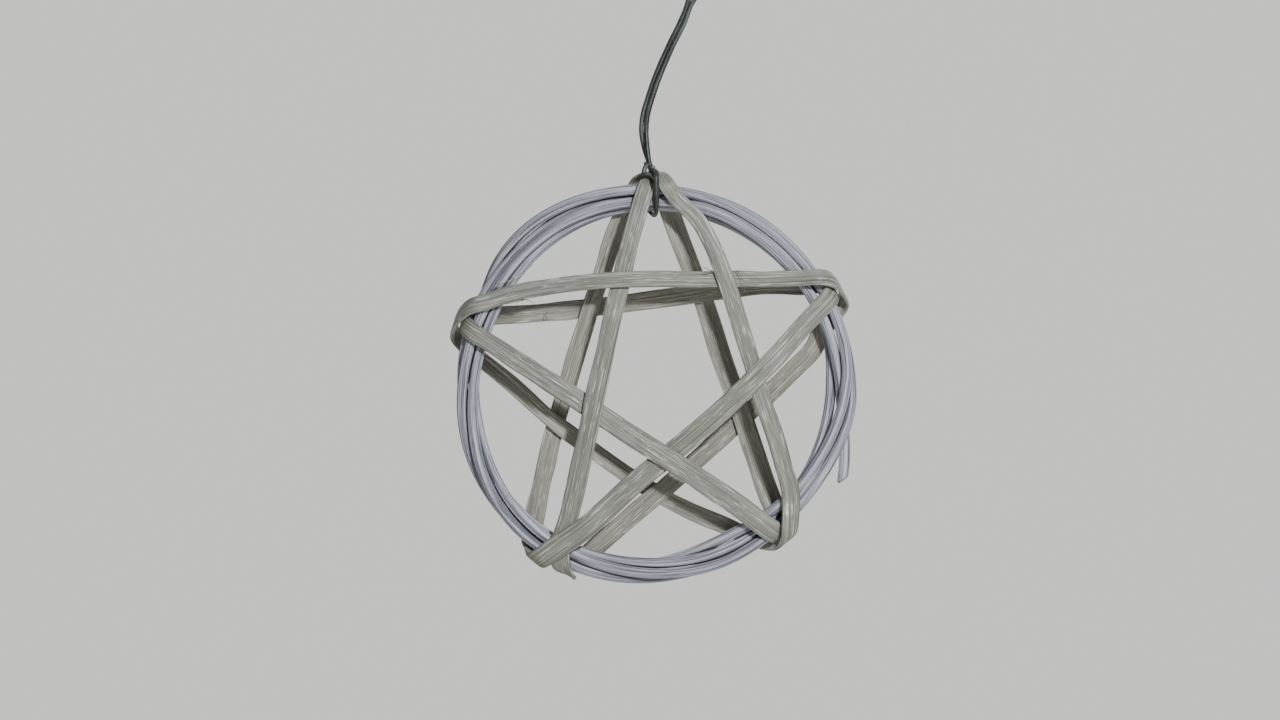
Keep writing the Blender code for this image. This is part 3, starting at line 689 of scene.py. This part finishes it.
def painted_reed_material(settings):
    """Round rattan reed, drawn through a die and wiped with pale blue-grey matt paint.

    The wash sits in the fibres, so the eye sees fine lengthwise streaks, a few warmer grey places
    and a dull sheen. A painted shade darkens the reed where strands lie side by side, drawing a dark line
    between them.
    """
    made, tree, shader, place = new_material("washed_round_reed")
    fine = streaks(tree, place, (1.25, 1.25, 0.022), (0.40, 0.60))
    broad = streaks(tree, place, (0.35, 0.35, 0.012), (0.36, 0.64), detail=2.0, most=0.45)
    thin = streaks(tree, place, (0.7, 0.7, 0.03), (0.58, 0.70), most=0.7)
    pores = streaks(tree, place, (1.9, 1.9, 0.04), (0.58, 0.66), detail=2.0, most=0.85)
    # Painted shade: the reed turns towards the gap shade colour where another turn lies within about 1 mm,
    # where shade falls between strands
    gap = add(tree, "ShaderNodeAttribute", {}, attribute_name="strand_gap").outputs["Fac"]
    gap_shading = add(tree, "ShaderNodeMapRange", {"Value": gap, "From Min": 1.0, "From Max": 0.3, "To Max": 0.95})
    along_reed = add(tree, "ShaderNodeSeparateXYZ", {"Vector": place}).outputs["Z"]
    cut = add(tree, "ShaderNodeMapRange", {"Value": along_reed, "From Min": 0.9, "From Max": 0.1})
    colour = coated(
        tree, settings.wash_dark, (fine, settings.wash_light), (broad, settings.wash_mid),
        (thin, settings.bare_reed), (pores, settings.pore), (gap_shading.outputs["Result"], settings.gap_shade),
        (cut.outputs["Result"], settings.cut_face))
    finish_material(tree, shader, colour, dulled=fine, dullness=(0.62, 0.46), relief=fine, depth=0.00022,
                    strength=0.8, refraction=1.45)
    return made


def flat_reed_material(settings):
    """Split rattan reed: grey-green outer face, paler and warmer inner face, both with open grain.

    Splitting leaves straight fibre bundles about 0.4 mm wide: fine dark lines and a satin sheen to the eye.
    """
    made, tree, shader, place = new_material("split_flat_reed")
    fine = streaks(tree, place, (2.3, 1.0, 0.018), (0.38, 0.62))
    broad = streaks(tree, place, (0.35, 0.3, 0.012), (0.35, 0.65), detail=2.0, most=0.5)
    lines = streaks(tree, place, (2.6, 0.8, 0.014), (0.60, 0.68), detail=2.0, most=0.75)
    hairs = streaks(tree, place, (5.0, 1.0, 0.03), (0.46, 0.64), detail=2.0, most=0.5)
    flecks = streaks(tree, place, (2.4, 1.0, 0.11), (0.60, 0.68), detail=2.0, most=0.9)
    through = add(tree, "ShaderNodeSeparateXYZ", {"Vector": place}).outputs["Y"]
    inner = add(tree, "ShaderNodeMapRange", {"Value": through, "From Min": -0.45, "From Max": -0.68})
    outer_face = coated(tree, settings.outer_dark, (fine, settings.outer_light))
    inner_face = coated(tree, settings.inner_dark, (fine, settings.inner_light))
    colour = coated(tree, outer_face, (inner.outputs["Result"], inner_face), (broad, settings.weathered),
                    (lines, settings.grain_line), (hairs, settings.grain_line), (flecks, settings.fleck))
    finish_material(tree, shader, colour, dulled=fine, dullness=(0.52, 0.34), relief=fine, depth=0.00015,
                    strength=0.7, refraction=1.5)
    return made


def loose_fibre_material(settings):
    """Single rattan fibres torn from the strip's edge: dry, greyed in places, so they show as fine lines."""
    made, tree, shader, place = new_material("torn_reed_fibre")
    dry = streaks(tree, place, (1.0, 1.0, 0.4), (0.40, 0.60))
    colour = coated(tree, settings.grain_line, (dry, settings.inner_light))
    tree.links.new(colour, shader.inputs["Base Color"])
    shader.inputs["Roughness"].default_value = 0.6
    return made


def lace_material(settings):
    """Thin dyed hide lace, cut from a skin and worn: nearly black, grey-green in streaks that are partly worn
    faces and partly a painted highlight.
    """
    made, tree, shader, place = new_material("dyed_hide_lace")
    # Wear and painted highlight: lighter bluish-grey streaks along the lace
    wear_and_highlight = streaks(tree, place, (0.9, 0.9, 0.06), (0.42, 0.68))
    grit = streaks(tree, place, (4.0, 4.0, 1.6), (0.45, 0.7))
    colour = coated(tree, settings.dyed, (wear_and_highlight, settings.wear_and_highlight), (grit, settings.pit))
    finish_material(tree, shader, colour, dulled=wear_and_highlight, dullness=(0.38, 0.55), relief=grit, depth=0.00008,
                    strength=0.3, refraction=1.5)
    return made


def floor_material(settings):
    """Board with matt pale paint: an even ground without shine."""
    made, _, shader, _ = new_material("matt_painted_board")
    shader.inputs["Base Color"].default_value = (*settings.floor, 1.0)
    shader.inputs["Roughness"].default_value = 0.8
    return made


# What a user would change

def colour_choice(name, description, code):
    """A colour that the panel offers, from sRGB hex."""
    return bpy.props.FloatVectorProperty(
        name=name, description=description, default=linear(code), size=3, subtype="COLOR", min=0.0, max=1.0)


def length_choice(name, description, metres):
    """A length that the panel offers."""
    return bpy.props.FloatProperty(
        name=name, description=description, default=metres, min=0.0, unit="LENGTH", precision=5)


def strength_choice(name, description, amount):
    """A strength of light that the panel offers."""
    return bpy.props.FloatProperty(name=name, description=description, default=amount, min=0.0)


class HoopSettings(bpy.types.PropertyGroup):
    """The coiled hoop."""

    thick: length_choice("Reed", "Diameter of the round reed", 0.0040)
    spacing: length_choice("Step", "Length of one step of the surface along the reed", 0.0011)
    ridge: length_choice("Ridges", "Height of the fibre ridges", 0.00013)
    sides: bpy.props.IntProperty(name="Sides", description="Points round the reed", default=26, min=12)
    wash_light: colour_choice("Wash, light", "Paint on the crowns of the fibres", "#C8CBD7")
    wash_mid: colour_choice("Wash, middle", "Paint over broad patches", "#9A9DAC")
    wash_dark: colour_choice("Wash, dark", "Paint in the grooves", "#5E6272")
    bare_reed: colour_choice("Bare reed", "Reed showing where the wash is thin", "#8E8B8B")
    pore: colour_choice("Pores", "Open pores between fibres", "#41434F")
    # Painted shade: this colour darkens the reed where strands lie side by side, standing for the shade
    # between them
    gap_shade: colour_choice("Grime", "Dust where the strands lie side by side", "#1B1C22")
    cut_face: colour_choice("Cut face", "Unpainted reed at the cut end", "#8C7F70")


class StarSettings(bpy.types.PropertyGroup):
    """The flat strip laced into two stars."""

    thick: length_choice("Thickness", "Thickness of the strip", 0.0017)
    spacing: length_choice("Step", "Length of one step of the surface along the strip", 0.0011)
    ridge: length_choice("Ridges", "Height of the fibre ridges", 0.00003)
    ragged: length_choice("Ragged edge", "How far the edges wander", 0.00022)
    sides: bpy.props.IntProperty(name="Points", description="Points round the section", default=44, min=16)
    outer_light: colour_choice("Outer, light", "Crowns of the outer face", "#A3A59C")
    outer_dark: colour_choice("Outer, dark", "Grooves of the outer face", "#6C6E68")
    inner_light: colour_choice("Inner, light", "Crowns of the inner face", "#B4B2A6")
    inner_dark: colour_choice("Inner, dark", "Grooves of the inner face", "#7F7C71")
    weathered: colour_choice("Weathered", "Broad greyed patches", "#83857D")
    grain_line: colour_choice("Grain lines", "Dark lines between fibre bundles", "#403F38")
    fleck: colour_choice("Flecks", "Pale scraped flecks", "#D6D7CB")


class LaceSettings(bpy.types.PropertyGroup):
    """The hanging lace."""

    thick: length_choice("Thickness", "Width across the lace", 0.0019)
    spacing: length_choice("Step", "Length of one step of the surface along the lace", 0.0004)
    sides: bpy.props.IntProperty(name="Sides", description="Points round the lace", default=20, min=8)
    dyed: colour_choice("Dyed", "Unworn dyed hide", "#2A302E")
    # Worn faces and painted highlight: the bluish-grey of the lace's lighter streaks
    wear_and_highlight: colour_choice("Rubbed", "Worn faces", "#5D6768")
    pit: colour_choice("Pits", "Pits of the hide's grain", "#171A18")


class StageSettings(bpy.types.PropertyGroup):
    """Camera, light and floor."""

    distance: length_choice("Camera distance", "From the camera to the hoop's plane", 1.1)
    pixel: length_choice("Pixel", "Size of one picture pixel at the hoop's plane", UNIT)
    floor_drop: length_choice("Floor drop", "From the hanging point down to the floor", 0.45)
    floor_radius: length_choice("Floor radius", "Radius of the round floor", 1.2)
    key_power: strength_choice("Key", "Watts of the light at the upper right", 16.0)
    fill_power: strength_choice("Fill", "Watts of the soft light at the left", 0.1)
    back_power: strength_choice("Back", "Watts of the light behind", 4.0)
    sky_front: strength_choice("Sky, front", "Strength on the viewer's side", 0.04)
    sky_back: strength_choice("Sky, back", "Strength behind the ornament", 1.0)
    floor: colour_choice("Floor", "Colour of the floor", "#E6E4E0")


# Operators

class REEDSTAR_OT_stage(bpy.types.Operator):
    """Camera square to the hoop, a key light from the upper right, a soft fill and a pale floor"""

    bl_idname = "reedstar.stage"
    bl_label = "Stage"

    def execute(self, context):
        settings = context.scene.reedstar_stage
        middle = hoop_to_world(PICTURE_MIDDLE[0] * UNIT, 0.0, PICTURE_MIDDLE[1] * UNIT)
        add_camera(context, settings, middle)
        add_area_light("key_light", middle, (0.38, -1.05, 0.42), size=0.10, power=settings.key_power)
        add_area_light("fill_light", middle, (-0.75, -0.9, 0.15), size=0.9, power=settings.fill_power)
        add_area_light("back_light", middle, (0.3, 1.0, 0.6), size=0.8, power=settings.back_power)
        context.scene.world = studio_sky(settings)
        round_floor(settings)
        return {"FINISHED"}


def studio_sky(settings):
    """Even light from all round, palest behind the ornament: strength rises in a smooth step with depth."""
    world = bpy.data.worlds.new("studio")
    world.use_nodes = True
    tree = world.node_tree
    towards = add(tree, "ShaderNodeTexCoord", {}).outputs["Generated"]
    depth = add(tree, "ShaderNodeSeparateXYZ", {"Vector": towards}).outputs["Y"]
    strength = add(tree, "ShaderNodeMapRange", {
        "Value": depth, "From Min": -0.2, "From Max": 1.0, "To Min": settings.sky_front,
        "To Max": settings.sky_back}, interpolation_type="SMOOTHSTEP").outputs["Result"]
    sky = tree.nodes["Background"]
    sky.inputs["Color"].default_value = (*linear(PALE_SKY), 1.0)
    tree.links.new(strength, sky.inputs["Strength"])
    return world


def add_camera(context, settings, middle):
    """The camera: its lens makes one picture pixel at the hoop's plane as large as the settings say."""
    camera = bpy.data.cameras.new("camera")
    camera.sensor_width = CAMERA_SENSOR
    camera.lens = CAMERA_SENSOR * settings.distance / (PICTURE_WIDTH * settings.pixel)
    made = bpy.data.objects.new("camera", camera)
    made.location = (middle[0], middle[1] - settings.distance, middle[2])
    made.rotation_euler = (math.radians(90.0), 0.0, 0.0)
    context.scene.collection.objects.link(made)
    context.scene.camera = made


def add_area_light(name, aim, offset, size, power):
    """A square area light at an offset from the point it faces."""
    light = bpy.data.lights.new(name, "AREA")
    light.size = size
    light.energy = power
    made = bpy.data.objects.new(name, light)
    made.location = Vector(aim) + Vector(offset)
    made.rotation_euler = Vector(offset).to_track_quat("Z", "Y").to_euler()
    bpy.context.scene.collection.objects.link(made)


def round_floor(settings):
    """A flat disc: its rim is radius * (cos turn, sin turn) at the floor's height."""
    rim = ring(settings.floor_radius, turns_round(FLOOR_SIDES))
    rim = np.column_stack([rim, np.full(FLOOR_SIDES, -settings.floor_drop)])
    mesh = bpy.data.meshes.new("floor")
    mesh.from_pydata(rim.tolist(), [], [list(range(len(rim)))])
    mesh.materials.append(floor_material(settings))
    piece = bpy.data.objects.new("floor", mesh)
    bpy.context.scene.collection.objects.link(piece)
    return piece


class REEDSTAR_OT_lace(bpy.types.Operator):
    """The dark lace: a loop of two strands, tied round the hoop's top"""

    bl_idname = "reedstar.lace"
    bl_label = "Hanging lace"

    def execute(self, context):
        settings = context.scene.reedstar_lace
        knots = lace_points(*coil_section())
        travelled = along(knots)
        path = smooth_through(travelled, knots, np.arange(0.0, travelled[-1], LACE_FINE))
        at, (path,) = evenly(hoop_to_world(*path.T), settings.spacing)
        side, up = carried_frame(path, (1.0, 0.0, 0.0))
        twist = wander(at, length=0.030, seed=5, reach=1.2)[:, None]
        turn = turns_round(settings.sides)[None]
        reach = lace_reach(settings, at, turn)
        outline = ring(reach, turn + twist, flat=LACE_FLAT)
        piece = swept("lace", path, side, up, outline, straight_place(ring(reach, turn), at),
                      lace_material(settings), "hanging_lace")
        return {"FINISHED"}


def lace_reach(settings, at, turn):
    """From the lace's centre to its surface: (|cos|^n + |sin|^n)^(-1/n), a superellipse, with ridges."""
    powers = np.abs(np.cos(turn)) ** LACE_SQUARE + np.abs(np.sin(turn)) ** LACE_SQUARE
    swell = 0.5 * settings.thick * (1.0 + 0.05 * wander(at, length=0.006, seed=8))[:, None]
    relief = ridges(settings.sides, at, count=4, depth=0.05, drift=0.01, seed=31)
    return swell * (powers ** (-1.0 / LACE_SQUARE) / LACE_CORNER + relief)


class REEDSTAR_OT_hoop(bpy.types.Operator):
    """The hoop: one round reed coiled nearly four loose turns"""

    bl_idname = "reedstar.hoop"
    bl_label = "Coiled hoop"

    def execute(self, context):
        settings = context.scene.reedstar_hoop
        turned, section = coil_section()
        fine = np.linspace(0.0, turned[-1], COIL_FINER * len(turned))
        smooth = smooth_through(turned, section, fine)
        clock = np.radians(COIL_START - fine)
        path = hoop_to_world(smooth[:, 0] * np.sin(clock), smooth[:, 1], smooth[:, 0] * np.cos(clock))
        at, (path, fine, smooth) = evenly(path, settings.spacing, fine, smooth)
        side, up = carried_frame(path, (0.0, 1.0, 0.0))
        up = up - CUT_SLOPE * np.clip(1.0 - at / CUT_REACH, 0.0, None)[:, None] * tangents_of(path)
        thick = 0.5 * settings.thick * (1.0 + 0.02 * wander(at, length=0.05, seed=3))
        reach = thick[:, None] + ridges(settings.sides, at, 7, settings.ridge, drift=0.04, seed=11)
        reach *= end_taper(at, CUT_ROUNDING)[:, None]
        outline = ring(reach, turns_round(settings.sides))
        piece = swept("round_reed_hoop", path, side, up, outline, straight_place(outline, at),
                      painted_reed_material(settings), "hoop_coil")
        offset = outline[..., :1] * side[:, None] + outline[..., 1:] * up[:, None]
        clock = np.radians(COIL_START - fine[:, 0])
        outward = np.stack([np.sin(clock), np.zeros_like(clock), np.cos(clock)], axis=1)
        # Distances to the nearest other turn, which place the painted shade between strands
        gap = strand_gap(fine[:, 0], smooth, np.sum(offset * outward[:, None], axis=-1), offset[..., 1])
        gap = np.append((gap - 0.5 * settings.thick).ravel() * MM, [FAR_GAP, FAR_GAP])
        piece.data.attributes.new("strand_gap", "FLOAT", "POINT").data.foreach_set("value", gap)
        return {"FINISHED"}


def strand_gap(turned, section, outward, depth):
    """From each surface point to the nearest centre line of another turn, in the hoop's section there.

    The other turns' centres are this coil's own section, read whole turns further on or back.
    """
    nearest_turn = np.full(outward.shape, FAR_GAP / MM)
    surface = (section[:, :1] + outward, section[:, 1:2] + depth)
    for turns in (-3, -2, -1, 1, 2, 3):
        there = turned + 360.0 * turns
        inside = (there >= turned[0]) & (there <= turned[-1])
        centre = [np.interp(there[inside], turned, section[:, i])[:, None] for i in (0, 1)]
        far = np.hypot(surface[0][inside] - centre[0], surface[1][inside] - centre[1])
        nearest_turn[inside] = np.minimum(nearest_turn[inside], far)
    return nearest_turn


def end_taper(at, over):
    """Slightly rounded cut ends: a quarter circle over the last stretch, never below seven tenths."""
    near = np.clip(np.minimum(at, at[-1] - at) / over, 0.0, 1.0)
    return 0.7 + 0.3 * np.sqrt(1.0 - (1.0 - near) ** 2)


class REEDSTAR_OT_star(bpy.types.Operator):
    """The star: one flat strip laced across the front and the back of the hoop"""

    bl_idname = "reedstar.star"
    bl_label = "Laced star"

    def execute(self, context):
        settings = context.scene.reedstar_star
        points, normals, widths = strip_line(*coil_section())
        at, (points, normals, widths) = evenly(points, settings.spacing, normals, widths)
        points = eased(points, rounds=6)
        normals = unit_rows(eased(normals, rounds=10))
        widths = eased(widths, rounds=20)[:, 0] * STRIP_WIDTH
        direction = tangents_of(points)
        up = unit_rows(normals - (normals * direction).sum(1, keepdims=True) * direction)
        across = np.cross(up, direction)
        outline = strip_outline(settings, at, widths)
        swept("flat_reed_star", hoop_to_world(*points.T), across, up, outline, straight_place(outline, at),
              flat_reed_material(settings), "star_strip")
        return {"FINISHED"}


def strip_outline(settings, at, widths):
    """Section of split reed at each step: a superellipse, flatter underneath, with ridges and ragged edges.

    x = half width * sign(cos) * |cos|^0.55, y = half thickness * sign(sin) * |sin|^p,
    with p = 0.8 above and 0.35 below.
    """
    turn = turns_round(settings.sides)
    cosine, sine = np.cos(turn), np.sin(turn)
    x = np.sign(cosine) * np.abs(cosine) ** 0.55
    y = np.where(sine > 0.0, np.abs(sine) ** 0.8, -np.abs(sine) ** 0.35)
    edge = np.where(x > 0.0, wander(at, length=0.009, seed=21, reach=settings.ragged)[:, None],
                    wander(at, length=0.012, seed=22, reach=settings.ragged)[:, None])
    half = 0.5 * widths[:, None] + edge
    relief = ridges(settings.sides, at, 9, settings.ridge, drift=0.05, seed=41)
    thick = 0.5 * settings.thick * (1.0 + 0.06 * wander(at, length=0.03, seed=23))[:, None]
    return np.stack([half * x[None] + 0.3 * relief * cosine, thick * y[None] + relief * sine], axis=-1)


class REEDSTAR_OT_whiskers(bpy.types.Operator):
    """Loose fibres that stand off the strip's edges"""

    bl_idname = "reedstar.whiskers"
    bl_label = "Loose fibres"

    def execute(self, context):
        mat = loose_fibre_material(context.scene.reedstar_star)
        for number, run in enumerate(WHISKERS):
            knots = np.array(run, float)
            knots = np.stack([knots[:, 0] * UNIT, knots[:, 2] / MM, knots[:, 1] * UNIT], axis=1)
            travelled = along(knots)
            path = smooth_through(travelled, knots, np.linspace(0.0, travelled[-1], WHISKER_STEPS))
            path = hoop_to_world(*path.T)
            side, up = carried_frame(path, (0.0, 0.3, 1.0))
            thin = WHISKER_RADIUS * np.linspace(1.0, WHISKER_TIP, WHISKER_STEPS)[:, None]
            outline = ring(thin, turns_round(WHISKER_SIDES))
            swept(f"loose_fibre_{number}", path, side, up, outline, straight_place(outline, along(path)), mat)
        return {"FINISHED"}


class REEDSTAR_PT_panel(bpy.types.Panel):
    """Lists the ornament's pieces and their settings"""

    bl_label = "Reed star"
    bl_idname = "REEDSTAR_PT_panel"
    bl_space_type = "VIEW_3D"
    bl_region_type = "UI"
    bl_category = "Reed star"

    def draw(self, context):
        for operator, group in ((REEDSTAR_OT_stage, "stage"), (REEDSTAR_OT_lace, "lace"),
                                (REEDSTAR_OT_hoop, "hoop"), (REEDSTAR_OT_star, "star")):
            box = self.layout.box()
            box.operator(operator.bl_idname)
            settings = getattr(context.scene, "reedstar_" + group)
            for key in settings.bl_rna.properties.keys():
                if key not in ("rna_type", "name"):
                    box.prop(settings, key)
        self.layout.operator(REEDSTAR_OT_whiskers.bl_idname)


GROUPS = {"hoop": HoopSettings, "star": StarSettings, "lace": LaceSettings, "stage": StageSettings}
CLASSES = (
    REEDSTAR_OT_stage, REEDSTAR_OT_lace, REEDSTAR_OT_hoop, REEDSTAR_OT_star, REEDSTAR_OT_whiskers,
    REEDSTAR_PT_panel,
)


def register():
    for name, group in GROUPS.items():
        bpy.utils.register_class(group)
        setattr(bpy.types.Scene, "reedstar_" + name, bpy.props.PointerProperty(type=group))
    for made in CLASSES:
        bpy.utils.register_class(made)


def unregister():
    for made in reversed(CLASSES):
        bpy.utils.unregister_class(made)
    for name, group in GROUPS.items():
        delattr(bpy.types.Scene, "reedstar_" + name)
        bpy.utils.unregister_class(group)


def main():
    """Builds every piece."""
    register()
    bpy.ops.reedstar.stage()
    bpy.ops.reedstar.lace()
    bpy.ops.reedstar.hoop()
    bpy.ops.reedstar.star()
    bpy.ops.reedstar.whiskers()


if __name__ == "__main__":
    main()
